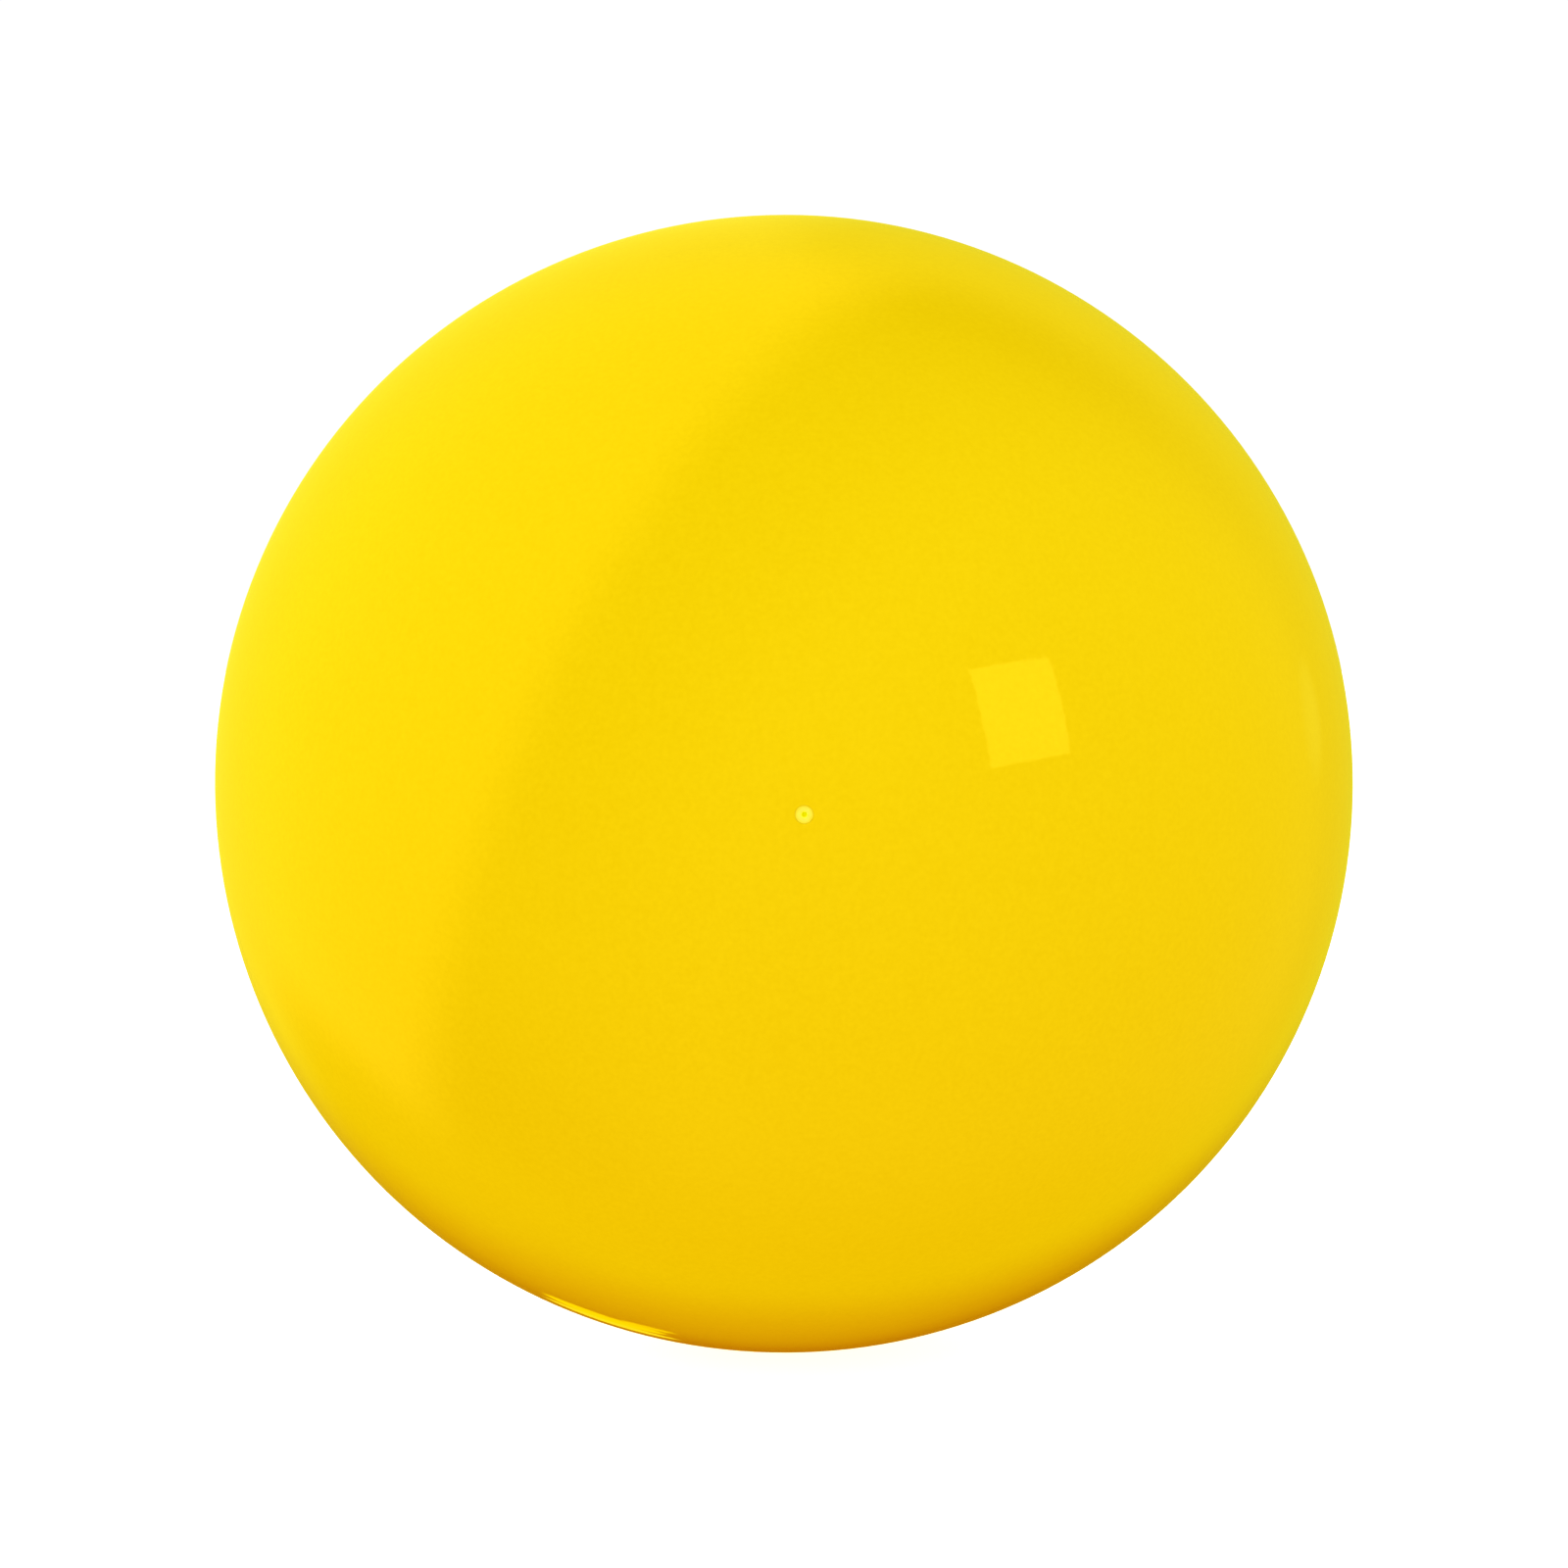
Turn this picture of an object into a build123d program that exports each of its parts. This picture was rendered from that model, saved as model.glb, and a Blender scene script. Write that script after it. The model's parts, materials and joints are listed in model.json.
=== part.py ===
from build123d import *
import math
import os

# A playground ball: a nylon-wound rubber ball with a needle valve let into its wall.
# Lengths are in millimetres. The origin is the centre of the ball, +Z is up and the valve faces -Y.
# Each piece is drawn about a valve axis along its own +Z, and is turned to face -Y as it is written.

# The ball and its wall, named from the outside in
ball_diameter = 216.0
cover_wall = 1.0  # coloured rubber
backing_wall = 0.6  # plain rubber that the cover is moulded onto
winding_wall = 0.3  # nylon thread, wound round and round the bladder
bladder_wall = 0.6  # butyl rubber, which holds the air

# The patch that stiffens the bladder round its hole
patch_diameter = 32.0
patch_thickness = 0.5

# The valve insert, a soft plug whose face shows in the cover
insert_diameter = 3.0
insert_length = 13.0
insert_tip_chamfer = 0.4
passage_diameter = 0.9  # an inflating needle stretches it on the way in
passage_length = 10.0
lead_in_chamfer = 0.2  # at the mouth of the passage, to guide the needle
slit_width = 0.8  # a cut through the blind tip, which the air inside holds shut
slit_gap = 0.06

# The valve housing, a flanged boss that holds the insert
neck_diameter = 8.0  # where it passes through the patch, the bladder and the winding
flange_diameter = 22.0
flange_thickness = 1.0
boss_draft = 2.5  # degrees that its side leans in, down to its end
boss_root_fillet = 0.9
boss_end_fillet = 0.5
seat_thickness = 2.0  # the floor under the insert's tip
air_passage_diameter = 1.6

# Fits
insert_clearance = 0.05  # radial, in every hole that the insert slides through
seat_clearance = 0.05  # between the insert's tip and the floor of its pocket

# Radii of the faces where the layers meet, and of the holes on the valve axis
cover_radius = ball_diameter / 2
backing_radius = cover_radius - cover_wall
winding_radius = backing_radius - backing_wall
bladder_radius = winding_radius - winding_wall
patch_radius = bladder_radius - bladder_wall
flange_radius = patch_radius - patch_thickness
insert_hole_radius = insert_diameter / 2 + insert_clearance
neck_radius = neck_diameter / 2

# Heights on the valve axis
passage_floor = cover_radius - passage_length
insert_tip = cover_radius - insert_length
pocket_floor = insert_tip - seat_clearance
boss_end = pocket_floor - seat_thickness
beyond = cover_radius + cover_wall  # outside the ball, where every cut starts


def rod(radius, low, high):
    """A round rod on the valve axis, from one height to another."""
    return Pos(0, 0, (low + high) / 2) * Cylinder(radius, high - low)


def layer(outer_radius, wall):
    """A hollow ball, the shape of one layer of the wall."""
    return Sphere(outer_radius) - Sphere(outer_radius - wall)


def round_edge(piece, radius, height):
    """The circular edge nearest to this radius and height."""
    circles = piece.edges().filter_by(GeomType.CIRCLE)
    return min(circles, key=lambda edge: abs(edge.radius - radius) + abs(edge.arc_center.Z - height))


def make_cover():
    return layer(cover_radius, cover_wall) - rod(insert_hole_radius, 0, beyond)


def make_cover_backing():
    return layer(backing_radius, backing_wall) - rod(insert_hole_radius, 0, beyond)


def make_nylon_winding():
    return layer(winding_radius, winding_wall) - rod(neck_radius, 0, beyond)


def make_bladder():
    return layer(bladder_radius, bladder_wall) - rod(neck_radius, 0, beyond)


def make_valve_patch():
    """A ring as curved as the bladder, bonded to its inner face."""
    patch = layer(patch_radius, patch_thickness) & rod(patch_diameter / 2, 0, beyond)
    return patch - rod(neck_radius, 0, beyond)


def make_valve_housing():
    """A neck through the wall, a flange under the patch, and a tapered boss inside the ball."""
    flange = layer(flange_radius, flange_thickness) & rod(flange_diameter / 2, 0, beyond)
    boss_top = flange_radius - flange_thickness / 2
    neck = rod(neck_radius, boss_top, beyond) & Sphere(winding_radius)

    boss_length = boss_top - boss_end
    boss_end_radius = neck_radius - boss_length * math.tan(math.radians(boss_draft))
    boss = Pos(0, 0, boss_end + boss_length / 2) * Cone(boss_end_radius, neck_radius, boss_length)

    housing = flange + neck + boss
    housing = fillet(round_edge(housing, boss_end_radius, boss_end), boss_end_fillet)
    housing = fillet(round_edge(housing, neck_radius, flange_radius - flange_thickness), boss_root_fillet)
    housing -= rod(insert_hole_radius, pocket_floor, beyond)
    return housing - rod(air_passage_diameter / 2, boss_end - seat_thickness, beyond)


def make_valve_insert():
    """A plug flush with the cover, with a needle passage down to a slit in its blind tip."""
    insert_radius = insert_diameter / 2
    insert = rod(insert_radius, insert_tip, beyond) & Sphere(cover_radius)
    insert = chamfer(round_edge(insert, insert_radius, insert_tip), insert_tip_chamfer)

    passage_radius = passage_diameter / 2
    insert -= rod(passage_radius, passage_floor, beyond)
    insert = chamfer(round_edge(insert, passage_radius, cover_radius), lead_in_chamfer)

    slit_length = insert_length - passage_length
    slit = Box(slit_width, slit_gap, 2 * slit_length)
    return insert - Pos(0, 0, passage_floor - slit_length) * slit


pieces = {
    "cover": make_cover,
    "cover_backing": make_cover_backing,
    "nylon_winding": make_nylon_winding,
    "bladder": make_bladder,
    "valve_patch": make_valve_patch,
    "valve_housing": make_valve_housing,
    "valve_insert": make_valve_insert,
}
facing_front = Rot(90, 0, 0)  # turns +Z to -Y

os.makedirs("parts", exist_ok=True)
for name, make in pieces.items():
    export_step(facing_front * make(), f"parts/{name}.step")
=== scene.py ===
import json
import math

import bmesh
import bpy
import numpy as np
from mathutils import Matrix, Vector, noise


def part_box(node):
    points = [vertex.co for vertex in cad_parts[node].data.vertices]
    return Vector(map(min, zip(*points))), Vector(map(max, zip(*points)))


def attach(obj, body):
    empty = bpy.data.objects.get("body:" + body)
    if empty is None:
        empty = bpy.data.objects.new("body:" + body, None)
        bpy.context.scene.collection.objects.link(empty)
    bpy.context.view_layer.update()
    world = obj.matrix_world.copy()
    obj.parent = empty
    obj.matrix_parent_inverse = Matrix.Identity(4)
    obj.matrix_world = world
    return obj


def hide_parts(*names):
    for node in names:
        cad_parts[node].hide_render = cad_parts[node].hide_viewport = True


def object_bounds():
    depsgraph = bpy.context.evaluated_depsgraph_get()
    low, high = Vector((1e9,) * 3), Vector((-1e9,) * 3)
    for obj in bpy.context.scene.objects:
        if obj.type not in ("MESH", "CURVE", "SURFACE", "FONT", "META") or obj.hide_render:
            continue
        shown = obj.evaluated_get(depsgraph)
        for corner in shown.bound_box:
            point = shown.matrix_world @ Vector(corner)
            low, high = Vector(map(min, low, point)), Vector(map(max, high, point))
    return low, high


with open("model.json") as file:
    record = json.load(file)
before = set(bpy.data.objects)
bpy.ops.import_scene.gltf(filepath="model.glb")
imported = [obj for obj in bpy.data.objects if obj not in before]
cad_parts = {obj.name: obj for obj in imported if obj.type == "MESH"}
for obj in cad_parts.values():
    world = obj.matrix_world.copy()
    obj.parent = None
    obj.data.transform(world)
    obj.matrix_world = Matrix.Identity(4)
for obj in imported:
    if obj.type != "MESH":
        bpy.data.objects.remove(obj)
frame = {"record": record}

scene = bpy.context.scene
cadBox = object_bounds()
mm = 0.001                       # scene units are metres
sharpAngle = math.radians(38)    # edges bent more than this stay crisp

# Every round piece is an outline turned about the valve axis. An outline point is
# (distance from the axis, height out from the ball's centre), and heights grow towards -Y.
valveAxis = Vector((0, -1, 0))
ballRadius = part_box("cover")[1].y
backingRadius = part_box("cover_backing")[1].y
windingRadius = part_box("nylon_winding")[1].y
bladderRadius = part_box("bladder")[1].y
floorHeight = cadBox[0][2]

wall = {
    "bladder": 0.6 * mm,
    "patch": 0.5 * mm,
    "flange": 1.0 * mm,
    "neckRadius": 4.0 * mm,      # the housing's neck, and the holes it fills
    "clearance": 0.05 * mm,      # round the insert
}
patchRadius = bladderRadius - wall["bladder"]
flangeRadius = patchRadius - wall["patch"]
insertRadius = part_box("valve_insert")[1].x
insertHoleRadius = insertRadius + wall["clearance"]


# shapes

def roundCorner(centreOut, centreUp, radius, fromDeg, toDeg, steps=5):
    # 0 degrees points out along the valve axis, 90 points away from it
    points = []
    for angle in np.radians(np.linspace(fromDeg, toDeg, steps + 1)):
        points.append((centreOut + radius * math.sin(angle), centreUp + radius * math.cos(angle)))
    return points


def onSphere(radius, out):
    return math.sqrt(radius * radius - out * out)


def followSphere(radius, fromOut, toOut, steps):
    # a stretch of outline that lies on a layer of the wall
    return [(out, onSphere(radius, out)) for out in np.linspace(fromOut, toOut, steps + 1)]


def ringAngles(firstAngle, rings):
    # rings start close together at the hole and widen evenly towards the far pole
    grow = np.linspace(0, 1, rings + 1)
    bunching = 0.22
    spread = bunching * grow ** 2.2 + (1 - bunching) * grow
    return firstAngle + (math.pi - firstAngle) * spread


def turn(name, outline, segments):
    mesh = bmesh.new()
    rings = []
    for out, up in outline:
        if out < 1e-8:  # a point on the axis
            rings.append([mesh.verts.new((0, -up, 0))])
            continue
        ring = []
        for step in range(segments):
            angle = 2 * math.pi * step / segments
            ring.append(mesh.verts.new((out * math.cos(angle), -up, out * math.sin(angle))))
        rings.append(ring)
    for ring, nextRing in zip(rings, rings[1:] + rings[:1]):
        for step in range(segments):
            after = step + 1
            corners = []
            for vert in (ring[step % len(ring)], ring[after % len(ring)],
                         nextRing[after % len(nextRing)], nextRing[step % len(nextRing)]):
                if vert not in corners:
                    corners.append(vert)
            if len(corners) > 2:
                mesh.faces.new(corners)
    bmesh.ops.recalc_face_normals(mesh, faces=mesh.faces)
    return placeMesh(name, mesh)


def placeMesh(name, mesh):
    data = bpy.data.meshes.new(name)
    mesh.to_mesh(data)
    mesh.free()
    for face in data.polygons:
        face.use_smooth = True
    data.set_sharp_from_angle(angle=sharpAngle)
    piece = bpy.data.objects.new(name, data)
    scene.collection.objects.link(piece)
    return piece


def shellOutline(outer, inner, holeRadius, lip, rings, ridge=0.0, ridgeWidth=1.0):
    # a hollow layer with a round hole; a low ridge may run round its middle
    lipOut = holeRadius + lip
    outline = roundCorner(lipOut, onSphere(outer, lipOut) - lip, lip, -90, 0)
    for angle in ringAngles(math.asin(lipOut / outer), rings)[1:]:
        offMiddle = (angle - math.pi / 2) * outer / ridgeWidth
        radius = outer + ridge * math.exp(-offMiddle * offMiddle)
        outline.append((abs(radius * math.sin(angle)), radius * math.cos(angle)))
    innerAngles = ringAngles(math.asin(lipOut / inner), rings)
    for angle in innerAngles[:0:-1]:
        outline.append((abs(inner * math.sin(angle)), inner * math.cos(angle)))
    outline += roundCorner(lipOut, onSphere(inner, lipOut) + lip, lip, 180, 270)
    return outline


def finishPiece(piece, body, node, material):
    piece.data.materials.clear()
    piece.data.materials.append(material)
    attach(piece, body)
    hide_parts(node)
    return piece


# materials

def startMaterial(name, colour, roughness, specularTint=(1, 1, 1), specular=0.5):
    material = bpy.data.materials.new(name)
    material.use_nodes = True
    nodes = material.node_tree.nodes
    shader = nodes["Principled BSDF"]
    shader.inputs["Base Color"].default_value = (*colour, 1)
    shader.inputs["Roughness"].default_value = roughness
    shader.inputs["Specular Tint"].default_value = (*specularTint, 1)
    shader.inputs["Specular IOR Level"].default_value = specular
    place = nodes.new("ShaderNodeTexCoord")
    return material, shader, place.outputs["Object"]


def addNoise(material, place, size, detail=3.0, roughness=0.5):
    # size is how far apart the spots are, in metres
    node = material.node_tree.nodes.new("ShaderNodeTexNoise")
    node.inputs["Scale"].default_value = 1 / size
    node.inputs["Detail"].default_value = detail
    node.inputs["Roughness"].default_value = roughness
    material.node_tree.links.new(place, node.inputs["Vector"])
    return node.outputs["Fac"]


def addRange(material, value, low, high, fromLow=0.3, fromHigh=0.7):
    node = material.node_tree.nodes.new("ShaderNodeMapRange")
    node.inputs["From Min"].default_value = fromLow
    node.inputs["From Max"].default_value = fromHigh
    node.inputs["To Min"].default_value = low
    node.inputs["To Max"].default_value = high
    material.node_tree.links.new(value, node.inputs["Value"])
    return node.outputs["Result"]


def link(owner, value, socket):
    # a socket takes another node's output, a number or a colour
    if isinstance(value, bpy.types.NodeSocket):
        owner.node_tree.links.new(value, socket)
    elif isinstance(value, (tuple, list)):
        socket.default_value = (*value, 1)
    else:
        socket.default_value = value


def mixColour(material, factor, colourA, colourB):
    node = material.node_tree.nodes.new("ShaderNodeMix")
    node.data_type = "RGBA"
    link(material, factor, node.inputs[0])
    link(material, colourA, node.inputs[6])
    link(material, colourB, node.inputs[7])
    return node.outputs[2]


def combine(material, operation, *values):
    node = material.node_tree.nodes.new("ShaderNodeMath")
    node.operation = operation
    for value, socket in zip(values, node.inputs):
        link(material, value, socket)
    return node.outputs[0]


def alongAxis(material, vector, axis):
    node = material.node_tree.nodes.new("ShaderNodeVectorMath")
    node.operation = "DOT_PRODUCT"
    node.inputs[1].default_value = Vector(axis).normalized()
    material.node_tree.links.new(vector, node.inputs[0])
    return node.outputs["Value"]


def addBump(material, height, depth, normal=None):
    # depth is the height of the relief, in metres
    node = material.node_tree.nodes.new("ShaderNodeBump")
    node.inputs["Strength"].default_value = 1.0
    node.inputs["Distance"].default_value = depth
    material.node_tree.links.new(height, node.inputs["Height"])
    if normal:
        material.node_tree.links.new(normal, node.inputs["Normal"])
    return node.outputs["Normal"]


def addRelief(material, place, look, detail, under=None):
    size, depth = look
    return addBump(material, addNoise(material, place, size, detail), depth, under)


def plug(material, output, shader, name):
    material.node_tree.links.new(output, shader.inputs[name])


# cover: the glossy yellow skin

coverLook = {
    "segments": 224,
    "rings": 132,
    "lip": 0.05 * mm,            # rounding of the valve hole's edges
    "dishRadius": 4.5 * mm,      # the skin sinks a little round the valve
    "dishDepth": 0.04 * mm,
    "partingRidge": 0.03 * mm,   # what the mould's joint leaves round the middle
    "partingWidth": 0.5 * mm,
    "lump": 0.22 * mm,           # how far the ball is out of round
    "lumpSize": 95 * mm,
    "lumpShift": (3.7, 1.2, 5.1),
    "lumpFree": 18 * mm,         # the lumps fade out this near to the valve
    "yellow": (0.862, 0.611, 0.0006),
    "deepYellow": (0.847, 0.593, 0.0003),
    "grainYellow": (0.91, 0.660, 0.003),
    "mottleYellow": (0.845, 0.588, 0.0003),
    "mottleSize": 3.2 * mm,
    "mottleAmount": 0.35,
    "cloudSize": 60 * mm,
    "polishSize": 22 * mm,
    "roughness": (0.025, 0.045),
    "specularTint": (1.0, 0.95, 0.5),
    "peel": (5 * mm, 0.004 * mm),  # size and depth
    "grainSize": 0.95 * mm,
    "grainDepth": 0.0013 * mm,
    "grainAmount": 0.6,
}


def yellowRubber():
    look = coverLook
    material, shader, place = startMaterial("yellowRubber", look["yellow"], 0.06, look["specularTint"])
    cloud = addRange(material, addNoise(material, place, look["cloudSize"]), 0, 1)
    grain = addRange(material, addNoise(material, place, look["grainSize"], 2), 0, 1, 0.25, 0.75)
    tone = mixColour(material, cloud, look["deepYellow"], look["yellow"])
    mottle = addNoise(material, place, look["mottleSize"], 2)
    mottle = addRange(material, mottle, 0, look["mottleAmount"], 0.35, 0.65)
    tone = mixColour(material, mottle, tone, look["mottleYellow"])
    grainShown = addRange(material, grain, 0, look["grainAmount"], 0, 1)
    plug(material, mixColour(material, grainShown, tone, look["grainYellow"]), shader, "Base Color")
    polish = addNoise(material, place, look["polishSize"], 4)
    plug(material, addRange(material, polish, *look["roughness"]), shader, "Roughness")
    peel = addRelief(material, place, look["peel"], 2)
    plug(material, addBump(material, grain, look["grainDepth"], peel), shader, "Normal")
    return material


def shapeCover():
    look = coverLook
    outline = shellOutline(ballRadius, backingRadius, insertHoleRadius, look["lip"], look["rings"],
                           look["partingRidge"], look["partingWidth"])
    cover = turn("ballCover", outline, look["segments"])
    half = (ballRadius + backingRadius) / 2
    for vert in cover.data.vertices:
        place = vert.co
        if place.length < half:  # the inner face stays true
            continue
        fromValve = valveAxis.angle(place) * ballRadius
        dish = look["dishDepth"] * max(0.0, 1 - fromValve / look["dishRadius"]) ** 2
        settle = min(1.0, fromValve / look["lumpFree"])
        lump = noise.noise(place / look["lumpSize"] + Vector(look["lumpShift"]))
        vert.co = place + place.normalized() * (settle * look["lump"] * lump - dish)
    return cover


cover = finishPiece(shapeCover(), "ball", "cover", yellowRubber())
print("cover done", len(cover.data.polygons))


# cover backing: the plain ply under the skin

backingLook = {
    "segments": 144,
    "rings": 96,
    "lip": 0.1 * mm,
    "tan": (0.36, 0.27, 0.13),
    "palePowder": (0.52, 0.43, 0.27),
    "darkSpeck": (0.22, 0.15, 0.07),
    "powderSize": 18 * mm,
    "powderAmount": 0.8,
    "speckSize": 1.6 * mm,
    "speckAmount": 0.6,
    "roughness": (0.62, 0.82),   # bare, powdered
    "coarse": (3 * mm, 0.03 * mm),  # size and depth
    "fine": (0.5 * mm, 0.01 * mm),
}


def backingRubber():
    look = backingLook
    material, shader, place = startMaterial("backingRubber", look["tan"], 0.7, specular=0.35)
    powder = addNoise(material, place, look["powderSize"], 5)
    powder = addRange(material, powder, 0, look["powderAmount"], 0.42, 0.68)
    tone = mixColour(material, powder, look["tan"], look["palePowder"])
    specks = addNoise(material, place, look["speckSize"], 2)
    specks = addRange(material, specks, 0, look["speckAmount"], 0.6, 0.75)
    plug(material, mixColour(material, specks, tone, look["darkSpeck"]), shader, "Base Color")
    plug(material, addRange(material, powder, *look["roughness"], 0, 1), shader, "Roughness")
    coarse = addRelief(material, place, look["coarse"], 3)
    plug(material, addRelief(material, place, look["fine"], 2, coarse), shader, "Normal")
    return material


def shapeBacking():
    look = backingLook
    outline = shellOutline(backingRadius, windingRadius, insertHoleRadius, look["lip"], look["rings"])
    return turn("coverBacking", outline, look["segments"])


backing = finishPiece(shapeBacking(), "ball", "cover_backing", backingRubber())
print("backing done", len(backing.data.polygons))


# nylon winding: loops of thread on a dense bed of earlier turns

windingLook = {
    "segments": 144,
    "rings": 96,
    "lip": 0.04 * mm,
    "bedShare": 0.45,            # of the layer's thickness
    "loops": 160,
    "pointsPerLoop": 108,
    "threadRadius": 0.06 * mm,
    "threadSides": 4,
    "wander": 1.6 * mm,          # how far a loop strays from a true ring
    "neckGap": 1.2 * mm,         # how far the loops keep from the valve's neck
    "seed": 11,
    "thread": (0.80, 0.77, 0.69),
    "shadedThread": (0.50, 0.46, 0.37),
    "stain": (0.62, 0.52, 0.33),
    "stainSize": 30 * mm,
    "stainAmount": 0.35,
    "bedPitch": 0.8 * mm,
    "bedDepth": 0.05 * mm,
    "lays": ((0.2, 0.9, 0.4), (-0.8, 0.3, 0.5), (0.6, 0.5, -0.6), (0.5, -0.6, 0.6)),
    "layFade": (0.35, 0.7),      # shares of the radius between which a lay gives way
    "waver": (-30, 30),          # how far the bed's threads bend
    "waverSize": 25 * mm,
    "roughness": (0.62, 0.4),    # between threads, on top of them
    "sheen": 0.25,
}


def threadLoop(rng, ringRadius):
    # a great ring, turned at random, that misses the valve's neck
    look = windingLook
    clearOfNeck = math.sin((wall["neckRadius"] + look["wander"] + look["neckGap"]) / ringRadius)
    pole = rng.normal(size=3)
    pole /= np.linalg.norm(pole)
    while abs(pole[1]) < clearOfNeck:
        pole = rng.normal(size=3)
        pole /= np.linalg.norm(pole)
    side = np.cross(pole, (0.3, 0.2, 0.93))  # any direction off the pole will do
    side /= np.linalg.norm(side)
    other = np.cross(pole, side)
    turns = np.linspace(0, 2 * math.pi, look["pointsPerLoop"], endpoint=False)
    sway = look["wander"] / ringRadius * np.sin(rng.integers(2, 5) * turns + rng.uniform(0, 6.28))
    path = (np.outer(np.cos(turns), side) + np.outer(np.sin(turns), other)
            + np.outer(sway, pole))
    path /= np.linalg.norm(path, axis=1)[:, None]
    return path


def addLoop(mesh, path, ringRadius):
    sides = windingLook["threadSides"]
    along = np.roll(path, -1, axis=0) - np.roll(path, 1, axis=0)
    across = np.cross(along, path)
    across /= np.linalg.norm(across, axis=1)[:, None]
    rings = []
    for point, sideways in zip(path, across):
        ring = []
        for side in range(sides):
            angle = 2 * math.pi * (side + 0.5) / sides
            offset = math.cos(angle) * sideways + math.sin(angle) * point
            ring.append(mesh.verts.new(point * ringRadius + offset * windingLook["threadRadius"]))
        rings.append(ring)
    for ring, nextRing in zip(rings, rings[1:] + rings[:1]):
        for side in range(sides):
            after = (side + 1) % sides
            mesh.faces.new((ring[side], ring[after], nextRing[after], nextRing[side]))


def shapeWinding():
    look = windingLook
    rng = np.random.default_rng(look["seed"])
    lowest = bladderRadius + look["bedShare"] * (windingRadius - bladderRadius)
    highest = windingRadius - look["threadRadius"]
    outline = shellOutline(lowest, bladderRadius, wall["neckRadius"], look["lip"], look["rings"])
    bed = turn("threadWinding", outline, look["segments"])
    mesh = bmesh.new()
    mesh.from_mesh(bed.data)
    for loop in range(look["loops"]):
        ringRadius = lowest + (highest - lowest) * (loop + 1) / look["loops"]
        addLoop(mesh, threadLoop(rng, ringRadius), ringRadius)
    bmesh.ops.recalc_face_normals(mesh, faces=mesh.faces)
    mesh.to_mesh(bed.data)
    mesh.free()
    for face in bed.data.polygons:
        face.use_smooth = True
    return bed


def threadLay(material, place, axis, waver):
    # threads side by side round one axis, shown only where they run nearly as great rings
    look = windingLook
    along = alongAxis(material, place, axis)
    phase = combine(material, "MULTIPLY_ADD", along, 2 * math.pi / look["bedPitch"], waver)
    strands = addRange(material, combine(material, "SINE", phase), 0, 1, -1, 1)
    fadeFrom, fadeTo = look["layFade"]
    fade = addRange(material, combine(material, "ABSOLUTE", along), 1, 0,
                    fadeFrom * windingRadius, fadeTo * windingRadius)
    return combine(material, "MULTIPLY", strands, fade)


def nylonThread():
    look = windingLook
    material, shader, place = startMaterial("nylonThread", look["thread"], 0.45)
    shader.inputs["Sheen Weight"].default_value = look["sheen"]
    waver = addRange(material, addNoise(material, place, look["waverSize"]), *look["waver"], 0, 1)
    firstLay, *otherLays = look["lays"]
    strands = threadLay(material, place, firstLay, waver)
    for axis in otherLays:
        strands = combine(material, "MAXIMUM", strands, threadLay(material, place, axis, waver))
    tone = mixColour(material, strands, look["shadedThread"], look["thread"])
    stain = addNoise(material, place, look["stainSize"], 4)
    stain = addRange(material, stain, 0, look["stainAmount"], 0.5, 0.8)
    plug(material, mixColour(material, stain, tone, look["stain"]), shader, "Base Color")
    plug(material, addRange(material, strands, *look["roughness"], 0, 1), shader, "Roughness")
    plug(material, addBump(material, strands, look["bedDepth"]), shader, "Normal")
    return material


winding = finishPiece(shapeWinding(), "ball", "nylon_winding", nylonThread())
print("winding done", len(winding.data.polygons))


# bladder: thin black butyl, dusted with talc

bladderLook = {
    "segments": 144,
    "rings": 96,
    "lip": 0.08 * mm,
    "seamRidge": 0.08 * mm,
    "seamWidth": 0.7 * mm,
    "black": (0.018, 0.018, 0.019),
    "talc": (0.16, 0.16, 0.155),
    "dustSize": 26 * mm,
    "dustAmount": 0.75,
    "streakSize": 2.2 * mm,
    "roughness": (0.38, 0.75),   # bare, dusted
    "wrinkle": (6 * mm, 0.03 * mm),  # size and depth
    "fine": (0.6 * mm, 0.006 * mm),
}


def bladderRubber():
    look = bladderLook
    material, shader, place = startMaterial("bladderRubber", look["black"], 0.5)
    dust = addNoise(material, place, look["dustSize"], 6, 0.62)
    dust = addRange(material, dust, 0, look["dustAmount"], 0.5, 0.78)
    streak = addRange(material, addNoise(material, place, look["streakSize"]), 0.35, 1, 0.35, 0.65)
    patchy = combine(material, "MULTIPLY", dust, streak)
    plug(material, mixColour(material, patchy, look["black"], look["talc"]), shader, "Base Color")
    roughness = addRange(material, dust, *look["roughness"], 0, look["dustAmount"])
    plug(material, roughness, shader, "Roughness")
    wrinkle = addRelief(material, place, look["wrinkle"], 3)
    plug(material, addRelief(material, place, look["fine"], 2, wrinkle), shader, "Normal")
    return material


def shapeBladder():
    look = bladderLook
    outline = shellOutline(bladderRadius, patchRadius, wall["neckRadius"], look["lip"], look["rings"],
                           look["seamRidge"], look["seamWidth"])
    return turn("airBladder", outline, look["segments"])


bladder = finishPiece(shapeBladder(), "ball", "bladder", bladderRubber())
print("bladder done", len(bladder.data.polygons))


# valve patch: a disc skived thin at its rim

patchLook = {
    "segments": 128,
    "skive": 3.0 * mm,           # width of the tapered rim
    "skiveSteps": 6,
    "rimThickness": 0.15 * mm,
    "rimLean": 0.05 * mm,
    "black": (0.045, 0.045, 0.048),
    "buffed": (0.11, 0.11, 0.11),
    "scratchSize": 0.9 * mm,
    "scratchDepth": 0.02 * mm,
    "roughness": (0.65, 0.85),
}


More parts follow.
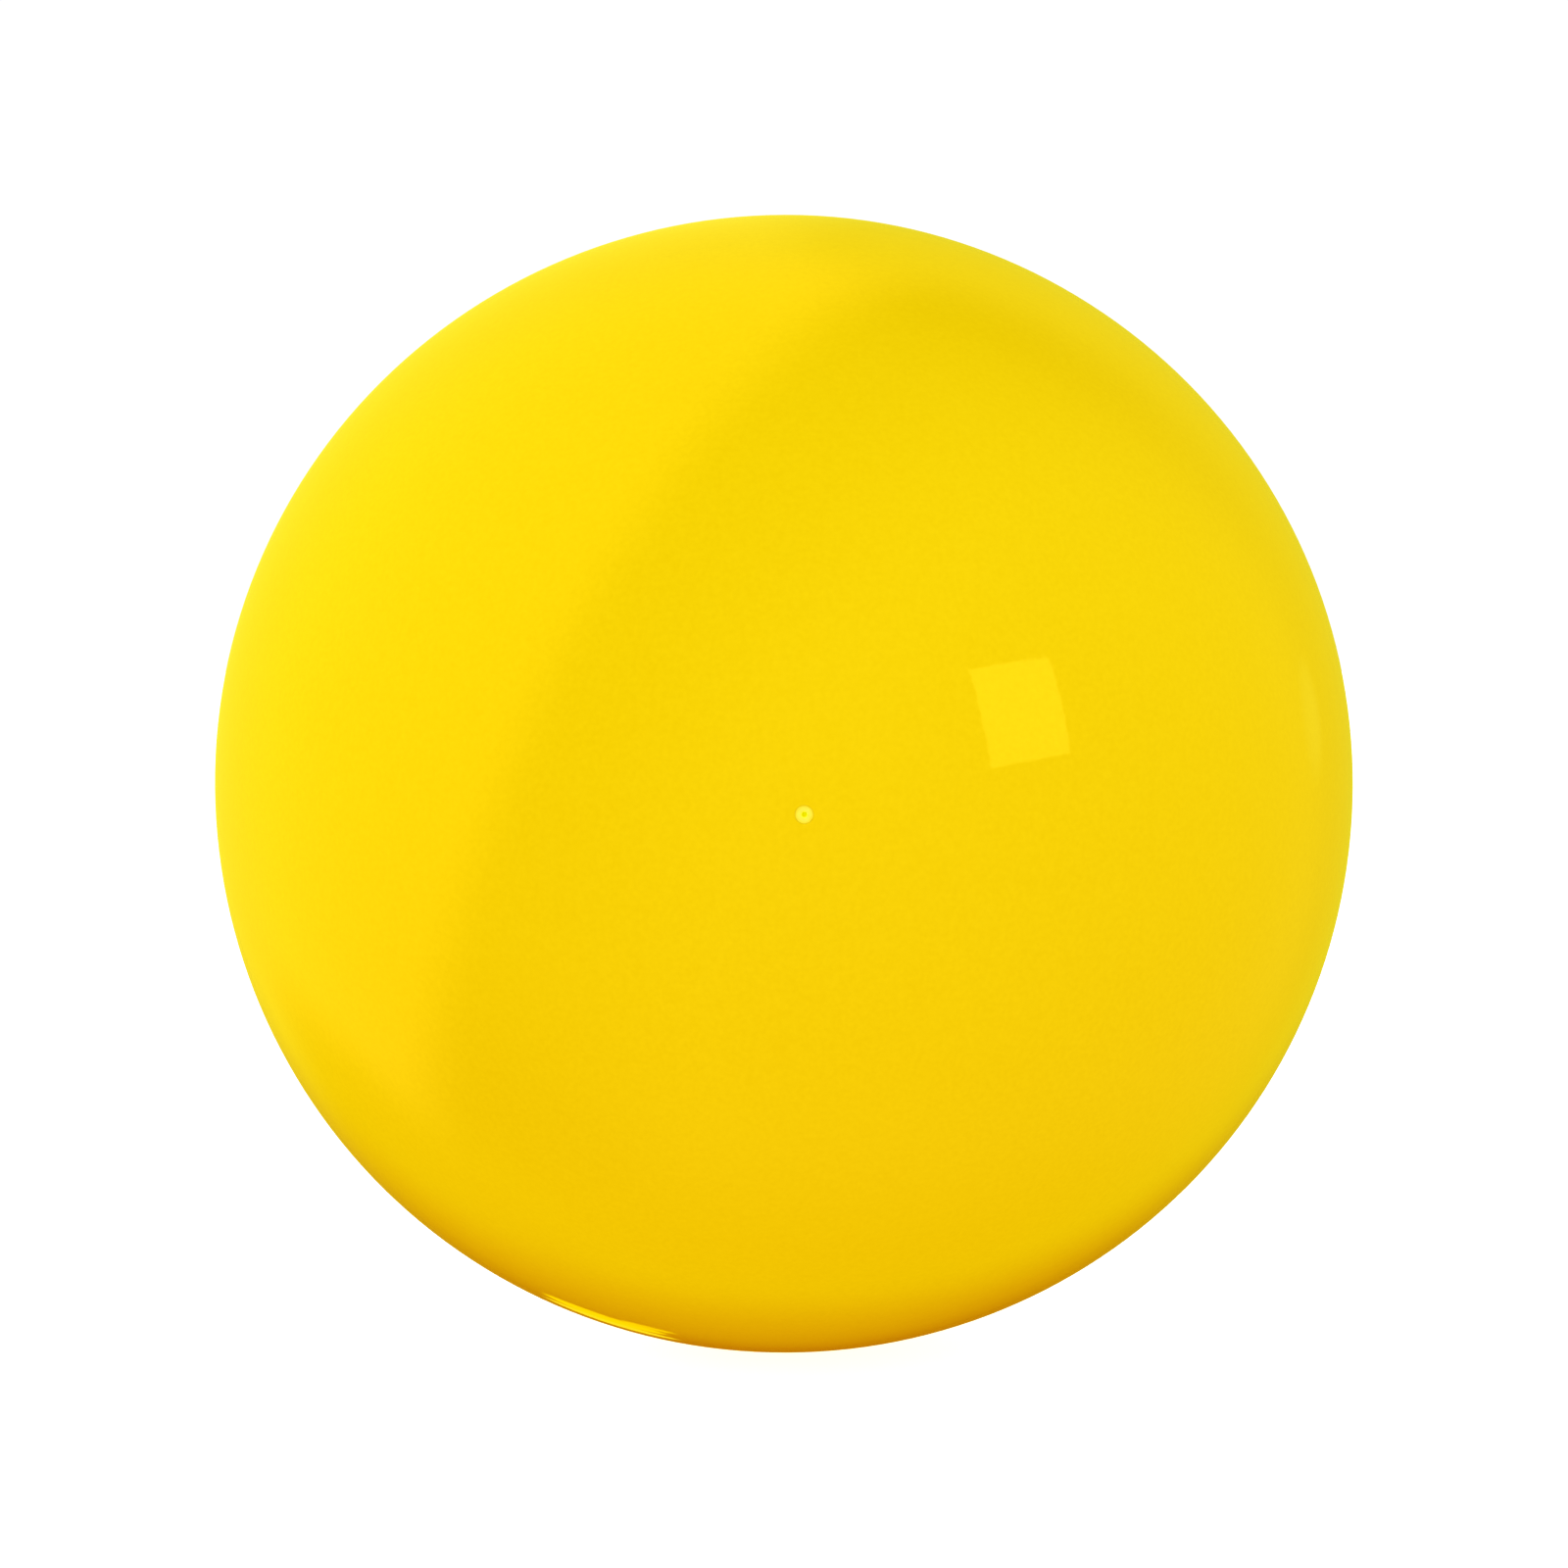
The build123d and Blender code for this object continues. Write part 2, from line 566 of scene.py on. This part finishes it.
def patchRubber():
    look = patchLook
    material, shader, place = startMaterial("patchRubber", look["black"], 0.75, specular=0.3)
    scratch = addNoise(material, place, look["scratchSize"], 4, 0.7)
    scratch = addRange(material, scratch, 0, 1, 0.4, 0.7)
    plug(material, mixColour(material, scratch, look["black"], look["buffed"]), shader, "Base Color")
    plug(material, addRange(material, scratch, *look["roughness"], 0, 1), shader, "Roughness")
    plug(material, addBump(material, scratch, look["scratchDepth"]), shader, "Normal")
    return material


def shapePatch():
    look = patchLook
    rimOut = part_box("valve_patch")[1].x
    hole, lean, rimThickness = wall["neckRadius"], look["rimLean"], look["rimThickness"]
    outline = followSphere(patchRadius, hole, rimOut, 24)
    outline += followSphere(patchRadius - rimThickness, rimOut, rimOut - lean, 1)
    for share in np.linspace(0, 1, look["skiveSteps"] + 1)[1:]:
        thickness = rimThickness + (wall["patch"] - rimThickness) * share
        out = rimOut - lean - (look["skive"] - lean) * share
        outline.append((out, onSphere(patchRadius - thickness, out)))
    outline += followSphere(flangeRadius, rimOut - look["skive"], hole, 16)[1:]
    return turn("valvePatch", outline, look["segments"])


patch = finishPiece(shapePatch(), "ball", "valve_patch", patchRubber())
print("patch done", len(patch.data.polygons))


# valve housing: neck, flange and tapered boss in one moulding

housingLook = {
    "segments": 96,
    "edge": 0.15 * mm,
    "rootFillet": 0.9 * mm,
    "endFillet": 0.5 * mm,
    "airPassage": 0.8 * mm,      # radius
    "seat": 2.0 * mm,            # thickness of the floor under the insert
    "draft": 2.5,                # degrees
    "flangeTaper": 2.5 * mm,
    "flangeRim": 0.45 * mm,      # thickness at the rim
    "darkGrey": (0.03, 0.03, 0.032),
    "bloom": (0.075, 0.075, 0.078),
    "bloomSize": 4 * mm,
    "bloomAmount": 0.8,
    "roughness": (0.36, 0.6),    # bare, bloomed
    "fine": (0.35 * mm, 0.005 * mm),  # size and depth
}


def housingRubber():
    look = housingLook
    material, shader, place = startMaterial("housingRubber", look["darkGrey"], 0.42)
    bloom = addNoise(material, place, look["bloomSize"], 5)
    bloom = addRange(material, bloom, 0, look["bloomAmount"], 0.42, 0.72)
    plug(material, mixColour(material, bloom, look["darkGrey"], look["bloom"]), shader, "Base Color")
    roughness = addRange(material, bloom, *look["roughness"], 0, look["bloomAmount"])
    plug(material, roughness, shader, "Roughness")
    plug(material, addRelief(material, place, look["fine"], 3), shader, "Normal")
    return material


def shapeHousing():
    look = housingLook
    low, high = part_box("valve_housing")
    flangeOut, bossEnd = high.x, -high.y
    neck, edge = wall["neckRadius"], look["edge"]
    pocketFloor = bossEnd + look["seat"]
    flangeUnder = flangeRadius - wall["flange"]
    lean = math.tan(math.radians(look["draft"]))
    bossTop = flangeRadius - wall["flange"] / 2
    root, end = look["rootFillet"], look["endFillet"]

    # up the bore, over the top of the neck and down to the flange
    boreTop = onSphere(windingRadius, insertHoleRadius)
    outline = roundCorner(insertHoleRadius + edge, boreTop - edge, edge, -90, 0)
    outline += followSphere(windingRadius, insertHoleRadius + edge, neck - edge, 6)[1:-1]
    outline += roundCorner(neck - edge, onSphere(windingRadius, neck) - edge, edge, 0, 90)
    outline += followSphere(flangeRadius, neck, flangeOut, 12)

    # under the flange, which thins towards its rim
    taperOut = flangeOut - look["flangeTaper"]
    outline.append((flangeOut, onSphere(flangeRadius - look["flangeRim"], flangeOut)))
    outline += followSphere(flangeUnder, taperOut, neck + root, 8)

    # round the root, down the boss and round its end
    rootUp = onSphere(flangeUnder, neck + root) - root
    rootOut = neck - (bossTop - rootUp) * lean + root
    outline += roundCorner(rootOut, rootUp, root, 0, -90)[1:]
    endOut = neck - (bossTop - bossEnd - end) * lean
    outline += roundCorner(endOut - end, bossEnd + end, end, 90, 180)

    # in through the air passage to the pocket's floor
    air = look["airPassage"]
    outline += roundCorner(air + edge, bossEnd + edge, edge, 180, 270)
    outline.append((air, pocketFloor))
    outline.append((insertHoleRadius, pocketFloor))
    return turn("valveHousing", outline, look["segments"])


housing = finishPiece(shapeHousing(), "ball", "valve_housing", housingRubber())
print("housing done", len(housing.data.polygons))


# valve insert: the pale plug with the needle passage

insertLook = {
    "segments": 96,
    "swell": 0.03 * mm,          # the soft plug nearly fills its hole
    "sunk": 0.05 * mm,           # the face sits just under the skin
    "rim": 0.05 * mm,            # rounding of the face's edge
    "mouth": 0.2 * mm,           # rounding of the passage's mouth
    "blindEnd": 3.0 * mm,        # solid rubber below the passage
    "tipChamfer": 0.4 * mm,
    "slit": (0.8 * mm, 0.06 * mm),
    "paleYellow": (0.98, 0.85, 0.085),
    "warmYellow": (0.95, 0.79, 0.045),
    "rimYellow": (0.99, 0.75, 0.012),    # where the skin's colour has smeared over the edge
    "rimFrom": (1.02 * mm, 1.5 * mm),
    "smearDepth": (0.3 * mm, 0.8 * mm),  # how far down the plug's side it goes
    "passageYellow": (0.95, 0.90, 0.03),
    "passageFrom": (0.42 * mm, 0.62 * mm),
    "cloudSize": 1.4 * mm,
    "cloudAmount": 0.7,
    "roughness": (0.26, 0.4),
    "fine": (0.25 * mm, 0.002 * mm),     # size and depth
    "subsurface": 0.35,
    "subsurfaceScale": 0.8 * mm,
    "subsurfaceRadius": (1.0, 0.8, 0.3),
    "specularTint": (1.0, 0.97, 0.25),
    "paintedFaceGlow": (0.04, 0.025, 0.0),      # painted glow: emission that stands in for daylight coming through the pale rubber
    # painted glow: stronger emission that lights up the needle passage
    "paintedPassageGlow": (0.18, 0.187, 0.0),
}


def distanceFromAxis(material, place):
    flat = material.node_tree.nodes.new("ShaderNodeVectorMath")
    flat.operation = "MULTIPLY"
    flat.inputs[1].default_value = (1, 0, 1)
    length = material.node_tree.nodes.new("ShaderNodeVectorMath")
    length.operation = "LENGTH"
    material.node_tree.links.new(place, flat.inputs[0])
    material.node_tree.links.new(flat.outputs[0], length.inputs[0])
    return length.outputs["Value"]


def insertRubber():
    look = insertLook
    material, shader, place = startMaterial("insertRubber", look["paleYellow"], 0.3, look["specularTint"])
    shader.inputs["Subsurface Weight"].default_value = look["subsurface"]
    shader.inputs["Subsurface Scale"].default_value = look["subsurfaceScale"]
    shader.inputs["Subsurface Radius"].default_value = look["subsurfaceRadius"]
    fromAxis = distanceFromAxis(material, place)
    inside = addRange(material, fromAxis, 1, 0, *look["passageFrom"])
    atRim = addRange(material, fromAxis, 0, 1, *look["rimFrom"])
    height = material.node_tree.nodes.new("ShaderNodeSeparateXYZ")
    material.node_tree.links.new(place, height.inputs[0])
    shallow, deep = look["smearDepth"]
    nearFace = addRange(material, height.outputs["Y"], 1, 0, shallow - ballRadius, deep - ballRadius)
    smeared = combine(material, "MULTIPLY", atRim, nearFace)
    # painted glow: the plug's face and passage emit light, more of it in the passage
    glow = mixColour(material, inside, look["paintedFaceGlow"], look["paintedPassageGlow"])
    plug(material, glow, shader, "Emission Color")
    shader.inputs["Emission Strength"].default_value = 1.0
    cloud = addRange(material, addNoise(material, place, look["cloudSize"], 4), 0, look["cloudAmount"])
    tone = mixColour(material, cloud, look["paleYellow"], look["warmYellow"])
    tone = mixColour(material, smeared, tone, look["rimYellow"])
    plug(material, mixColour(material, inside, tone, look["passageYellow"]), shader, "Base Color")
    roughness = addRange(material, cloud, *look["roughness"], 0, look["cloudAmount"])
    plug(material, roughness, shader, "Roughness")
    plug(material, addRelief(material, place, look["fine"], 3), shader, "Normal")
    return material


def cutSlit(insert, tipUp, floorUp):
    # a thin blade through the blind tip leaves the slit
    width, gap = insertLook["slit"]
    blade = bmesh.new()
    bmesh.ops.create_cube(blade, size=1)
    depth = floorUp - tipUp
    for vert in blade.verts:
        vert.co = Vector((vert.co.x * width, vert.co.y * depth * 1.5 - tipUp - depth / 2, vert.co.z * gap))
    cutter = placeMesh("slitBlade", blade)
    cut = insert.modifiers.new("slit", "BOOLEAN")
    cut.operation = "DIFFERENCE"
    cut.object = cutter
    cut.solver = "EXACT"
    bpy.context.view_layer.update()
    shaped = bpy.data.meshes.new_from_object(insert.evaluated_get(bpy.context.evaluated_depsgraph_get()))
    insert.modifiers.clear()
    insert.data = shaped
    bpy.data.objects.remove(cutter)


def shapeInsert():
    look = insertLook
    passage = frame["record"]["mounts"][0]["dims"]["r_mm"] * mm
    tipUp = -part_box("valve_insert")[1].y
    floorUp = tipUp + look["blindEnd"]
    rim, mouth, chamfer = look["rim"], look["mouth"], look["tipChamfer"]
    plugRadius = insertRadius + look["swell"]
    faceUp = onSphere(ballRadius - look["sunk"], plugRadius - rim)

    # up the passage, over the face and down the side to the tip
    outline = [(0, floorUp - 0.1 * mm), (passage * 0.6, floorUp), (passage, floorUp + 0.2 * mm)]
    outline += [(passage, floorUp + share * (faceUp - mouth - floorUp)) for share in (0.3, 0.6, 0.85)]
    outline += roundCorner(passage + mouth, faceUp - mouth, mouth, -90, 0)
    outline += roundCorner(plugRadius - rim, faceUp - rim, rim, 0, 90, 6)
    outline += [(plugRadius, tipUp + chamfer), (plugRadius - chamfer, tipUp), (0, tipUp)]
    insert = turn("valveInsert", outline, look["segments"])
    cutSlit(insert, tipUp, floorUp)
    insert.data.set_sharp_from_angle(angle=sharpAngle)
    return insert


insert = finishPiece(shapeInsert(), "insert", "valve_insert", insertRubber())
print("insert done", len(insert.data.polygons))


# studio: pale floor, white surround, one large soft source on the left and one small softbox

studioLook = {
    "floorSize": 6.0,
    "floorGap": 0.02 * mm,       # under the ball
    "fibreSize": 4 * mm,
    "fibreShade": 0.985,
    "floorColour": (0.82, 0.82, 0.815),
    "floorGlow": 0.88,           # the table is lit from beneath
    "backdrop": 1.05,            # what the camera sees round the ball
    "surround": 1.172,           # light from every side
    "overhead": (1.0, 0.99, 0.98),
    "overheadAxis": (0.5, 0.0, 0.87),
    "overheadSpan": (50, 30),
    "back": (0.86, 0.84, 0.82),
    "backAxis": (0.62, 0.78, -0.1),
    "backSpan": (42, 32),
    "leftAxis": (-0.774, 0.573, 0.269),
    "leftGlow": 2.05,            # light from the large source
    "leftSpan": (30, 5),         # half its angle and the softness of its edge, degrees
    "underGlow": (0.87, 0.495, 0.0),
    "underFrom": (-0.48, -0.8),  # heights between which the underside's light takes over
}

mirrorLook = {                   # what the gloss picks up of the same studio
    "front": (1.0, 0.88, 0.05),
    "gap": (0.12, 0.04, 0.0),    # the dark beside the large source
    "gapWidth": 0.75,
    "backRight": (0.80, 0.72, 0.035),
    "backLeft": (1.05, 0.93, 0.06),
    "backEdge": (-0.02, 0.10),   # how far right the one turns into the other
}

# each laid over the ones above: direction, half angle and softness in degrees, colour
mirrorPatches = {
    "leftSource": ((-0.793, 0.473, 0.384), 64, 7, (1.70, 1.2, 0.06)),
    "backWall": ((0, 1, 0.1), 47, 14, None),  # backLeft and backRight
    "lowBack": ((0, 0.6, -0.8), 38, 20, (0.78, 0.74, 0.0)),
    "lowLeft": ((-0.47, 0.65, -0.6), 15, 9, (0.62, 0.50, 0.0)),
    "ownShade": ((0.0, 0.84, -0.55), 19, 13, (0.36, 0.0, 0.0)),
    "lowSlot": ((-0.0714, 0.931, -0.3575), 2.3, 0.25, (1.3, 1.0, 0.02)),
    "slotMiddle": ((-0.0996, 0.9004, -0.4235), 2.61, 0.25, (1.3, 0.98, 0.0)),
    "slotEnd": ((-0.081, 0.8743, -0.4786), 1.25, 0.25, (1.2, 0.86, 0.0)),
    "rightStand": ((0.76, 0.647, 0.06), 3.0, 2.9, (1.0, 1.0, 0.08)),
}

softboxLook = {
    "turnDeg": 44.6,             # right of the valve, seen from above
    "liftDeg": 14.3,
    "distance": 1.3,
    "size": (0.396, 0.392),
    "rollDeg": 4.7,
    "tilt": (-0.27, -0.04),
    "radiance": 2.15,
    "colour": (1.0, 0.93, 0.09),
}


def layFloor():
    mesh = bmesh.new()
    bmesh.ops.create_grid(mesh, x_segments=24, y_segments=24, size=studioLook["floorSize"])
    floor = placeMesh("studioFloor", mesh)
    floor.location.z = floorHeight - studioLook["floorGap"]
    material, shader, place = startMaterial("palePaper", studioLook["floorColour"], 0.8, specular=0.2)
    fibre = addRange(material, addNoise(material, place, studioLook["fibreSize"], 4), 0, 1)
    pale = studioLook["floorColour"]
    shaded = [part * studioLook["fibreShade"] for part in pale]
    plug(material, mixColour(material, fibre, shaded, pale), shader, "Base Color")
    shader.inputs["Emission Color"].default_value = (1, 1, 1, 1)
    shader.inputs["Emission Strength"].default_value = studioLook["floorGlow"]
    floor.data.materials.append(material)
    floor.visible_glossy = False
    floor.visible_diffuse = False
    floor.visible_shadow = False


def stepBetween(world, value, fromLow, fromHigh):
    node = world.node_tree.nodes.new("ShaderNodeMapRange")
    node.interpolation_type = "SMOOTHSTEP"
    node.inputs["From Min"].default_value = fromLow
    node.inputs["From Max"].default_value = fromHigh
    world.node_tree.links.new(value, node.inputs["Value"])
    return node.outputs["Result"]


def spot(world, direction, axis, half, softness):
    outer, inner = math.radians(half + softness), math.radians(half - softness)
    return stepBetween(world, alongAxis(world, direction, axis), math.cos(outer), math.cos(inner))


def glowShader(world, colour):
    node = world.node_tree.nodes.new("ShaderNodeBackground")
    link(world, colour, node.inputs["Color"])
    return node.outputs[0]


def chooseShader(world, factor, first, second):
    node = world.node_tree.nodes.new("ShaderNodeMixShader")
    for socket, output in zip(node.inputs, (factor, first, second)):
        world.node_tree.links.new(output, socket)
    return node.outputs[0]


def dullLight(world, direction):
    look = studioLook
    leftSource = spot(world, direction, look["leftAxis"], *look["leftSpan"])
    light = mixColour(world, leftSource, (look["surround"],) * 3, (look["leftGlow"],) * 3)
    for dimmer in ("overhead", "back"):
        covered = spot(world, direction, look[dimmer + "Axis"], *look[dimmer + "Span"])
        light = mixColour(world, covered, light, look[dimmer])
    fromBelow = stepBetween(world, alongAxis(world, direction, (0, 0, 1)), *look["underFrom"])
    return mixColour(world, fromBelow, light, look["underGlow"])


def mirroredStudio(world, direction):
    look = mirrorLook
    onRight = stepBetween(world, alongAxis(world, direction, (1, 0, 0)), *look["backEdge"])
    towards, half, softness = mirrorPatches["leftSource"][:3]
    beside = math.cos(math.radians(half + softness))
    nearness = alongAxis(world, direction, towards)
    nearGap = stepBetween(world, nearness, beside - look["gapWidth"], beside)
    seen = mixColour(world, nearGap, look["front"], look["gap"])
    for towards, half, softness, colour in mirrorPatches.values():
        colour = colour or mixColour(world, onRight, look["backLeft"], look["backRight"])
        seen = mixColour(world, spot(world, direction, towards, half, softness), seen, colour)
    return seen


def lightSurround():
    world = bpy.data.worlds.new("studioSurround")
    world.use_nodes = True
    nodes, links = world.node_tree.nodes, world.node_tree.links
    nodes.clear()
    direction = nodes.new("ShaderNodeTexCoord").outputs["Generated"]
    light = glowShader(world, dullLight(world, direction))
    seen = glowShader(world, mirroredStudio(world, direction))
    backdrop = glowShader(world, (studioLook["backdrop"],) * 3)
    rays = nodes.new("ShaderNodeLightPath")
    lit = chooseShader(world, rays.outputs["Is Glossy Ray"], light, seen)
    output = nodes.new("ShaderNodeOutputWorld")
    links.new(chooseShader(world, rays.outputs["Is Camera Ray"], lit, backdrop), output.inputs["Surface"])
    scene.world = world


def lookFrom(turnDeg, liftDeg):
    # a direction out from the ball: turned right of the valve, then lifted
    turnAngle, lift = math.radians(turnDeg), math.radians(liftDeg)
    level = math.cos(lift)
    return Vector((math.sin(turnAngle) * level, -math.cos(turnAngle) * level, math.sin(lift)))


def hangSoftbox():
    look = softboxLook
    towards = lookFrom(look["turnDeg"], look["liftDeg"])
    right = Vector((0, 0, 1)).cross(towards).normalized()
    up = towards.cross(right)
    roll = math.radians(look["rollDeg"])
    right, up = right * math.cos(roll) + up * math.sin(roll), up * math.cos(roll) - right * math.sin(roll)
    back = (towards + right * look["tilt"][0] + up * look["tilt"][1]).normalized()
    right = (right - back * right.dot(back)).normalized()
    up = back.cross(right)
    lamp = bpy.data.lights.new("squareSoftbox", "AREA")
    lamp.shape = "RECTANGLE"
    lamp.size, lamp.size_y = look["size"]
    lamp.energy = look["radiance"] * math.pi * lamp.size * lamp.size_y
    lamp.color = look["colour"]
    softbox = bpy.data.objects.new("squareSoftbox", lamp)
    softbox.visible_camera = False
    softbox.visible_diffuse = False  # the surround already holds its light
    facing = Matrix((right, up, back)).transposed().to_4x4()
    softbox.matrix_world = Matrix.Translation(towards * look["distance"]) @ facing
    scene.collection.objects.link(softbox)


layFloor()
lightSurround()
hangSoftbox()
print("studio done")


# camera: level with the ball's middle, a touch to the valve's left

cameraLook = {
    "turnDeg": 1.79,             # left of the valve
    "liftDeg": 2.71,
    "lens": 100,
    "sensor": 36,
    "ballShare": 0.726,          # of the frame's width
}


def setCamera():
    look = cameraLook
    data = bpy.data.cameras.new("studioCamera")
    data.lens = look["lens"]
    data.sensor_width = look["sensor"]
    data.clip_start = 0.01
    halfView = look["ballShare"] / 2 * look["sensor"] / look["lens"]
    distance = ballRadius / math.sin(math.atan(halfView))
    towards = lookFrom(-look["turnDeg"], look["liftDeg"])
    camera = bpy.data.objects.new("studioCamera", data)
    camera.location = towards * distance
    camera.rotation_euler = (-towards).to_track_quat("-Z", "Y").to_euler()
    scene.collection.objects.link(camera)
    scene.camera = camera


setCamera()
scene.view_settings.view_transform = "Standard"
scene.view_settings.look = "None"
print("camera done")
